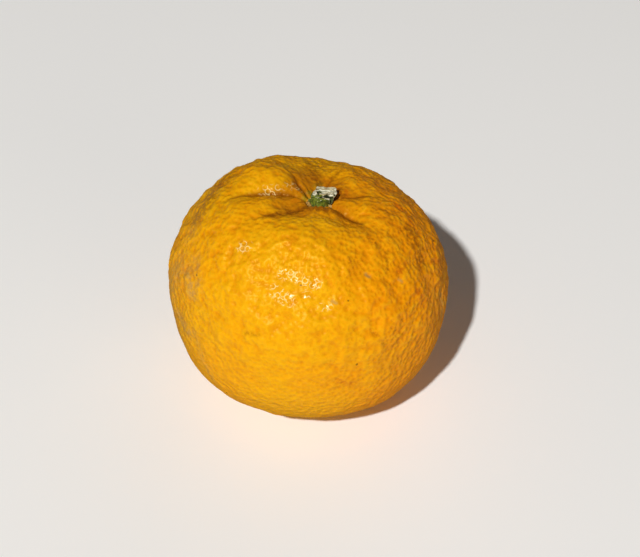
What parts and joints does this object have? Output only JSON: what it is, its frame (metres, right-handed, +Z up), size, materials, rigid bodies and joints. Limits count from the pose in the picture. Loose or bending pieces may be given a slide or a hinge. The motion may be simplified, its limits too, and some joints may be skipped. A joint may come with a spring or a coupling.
{
  "type": "yuzu",
  "caption": "Whole yuzu citrus fruit with a knobbly, furrowed rind, a green calyx and a short torn stem stub, resting on a small flat spot.",
  "frame": {"origin": "on the surface it rests on, under the middle of the fruit", "axes": "+Z up; the stem end is up and leans a little towards +X and +Y; -Y faces the viewer of the picture"},
  "size_m": [0.0704, 0.0686, 0.0576],
  "materials": {
    "rind": "waxy orange-yellow citrus rind, half glossy, pitted with oil glands",
    "calyx_green": "matt green plant tissue, dried and tan at the lobes",
    "stem_wood": "matt, pale torn wood fibre with thin bark"
  },
  "bodies": {
    "root": {"fruit": "rind", "calyx": "calyx_green", "stem": "stem_wood"}
  },
  "joints": []
}
